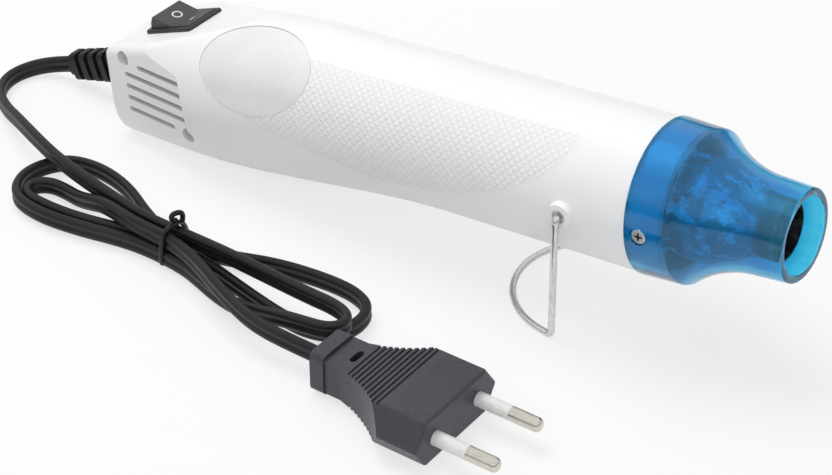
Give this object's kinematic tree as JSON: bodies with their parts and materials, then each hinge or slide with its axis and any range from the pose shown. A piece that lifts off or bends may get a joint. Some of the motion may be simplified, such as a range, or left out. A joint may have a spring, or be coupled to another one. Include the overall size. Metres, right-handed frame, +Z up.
{
  "type": "embossing heat tool",
  "caption": "Slim white hot air craft tool with a blue nozzle, fold-out wire stand, rocker switch, and a bundled flat mains cord with a two pin plug.",
  "frame": {"origin": "centre of the bounding box's bottom face, on the surface that the tool rests on", "axes": "+X towards the nozzle end, along the tool's length; +Y to the tool's left side; +Z up from the rest surface"},
  "size_m": [0.2647, 0.1138, 0.061],
  "materials": {
    "white_casing": "satin moulded plastic with a fine knurled field on each side of the barrel",
    "blue_nozzle": "glossy blue heat-resistant moulding",
    "screw_steel": "zinc plated cross head screws",
    "bail_steel": "bright drawn stainless wire",
    "sheet_steel": "thin rolled steel sheet",
    "mica": "pale mica sheet",
    "heating_wire": "bare resistance wire",
    "heater_ceramic": "heat-resistant moulding",
    "motor_steel": "plated drawn steel can",
    "fan_plastic": "black moulded fan",
    "carrier_plastic": "pale moulded plastic",
    "board_laminate": "brown paper laminate",
    "black_component": "moulded component body",
    "switch_black": "black switch housing",
    "rocker_grey": null,
    "tinned_copper": "tinned terminals",
    "black_rubber": "flexible black moulding",
    "cord_jacket": "satin black twin cord jacket with a groove along each face",
    "plug_grey": "slate grey moulded plug",
    "sleeve_white": "white insulating sleeves",
    "pin_nickel": "nickel plated pins",
    "blank_label": "blank satin silver label",
    "black_tie": "black plastic tie band",
    "clamp_plastic": "moulded clamp bar"
  },
  "bodies": {
    "casing": {"right_shell": "white_casing", "left_shell": "white_casing", "shell_screws": "screw_steel", "nozzle": "blue_nozzle", "nozzle_screws": "screw_steel", "heat_tube": "sheet_steel", "mica_lining": "mica", "heater_core": "mica", "heater_coil": "heating_wire", "heater_seat": "heater_ceramic", "thermal_cutout": "black_component", "motor_case": "motor_steel", "motor_carrier": "carrier_plastic", "rectifier_board": "board_laminate", "rectifier_diodes": "black_component", "switch_housing": "switch_black", "switch_terminals": "tinned_copper", "strain_relief": "black_rubber", "inner_cord": "cord_jacket", "cord_clamp": "clamp_plastic", "clamp_screws": "screw_steel", "label": "blank_label", "cord_lead": "cord_jacket", "cord_hank": "cord_jacket", "cord_tail": "cord_jacket", "cord_tie": "black_tie", "plug_body": "plug_grey", "plug_pins": "pin_nickel", "pin_sleeves": "sleeve_white"},
    "rocker": {"switch_rocker": "rocker_grey"},
    "stand": {"bail": "bail_steel"},
    "rotor": {"motor_shaft": "motor_steel", "fan": "fan_plastic"}
  },
  "joints": [
    {"name": "switch_hinge", "type": "hinge", "parent": "casing", "child": "rocker", "pos_m": [-0.07686, 0, 0.03544], "axis": [0, -1, 0], "range_deg": [0, 28]},
    {"name": "stand_hinge", "type": "hinge", "parent": "casing", "child": "stand", "pos_m": [0.06563, 0, 0.0379], "axis": [0, -1, 0], "range_deg": [-15, 95]},
    {"name": "rotor_spin", "type": "hinge", "parent": "casing", "child": "rotor", "pos_m": [-0.00541, 0, 0.03181], "axis": [0.9963, 0, 0.0854], "continuous": true}
  ]
}
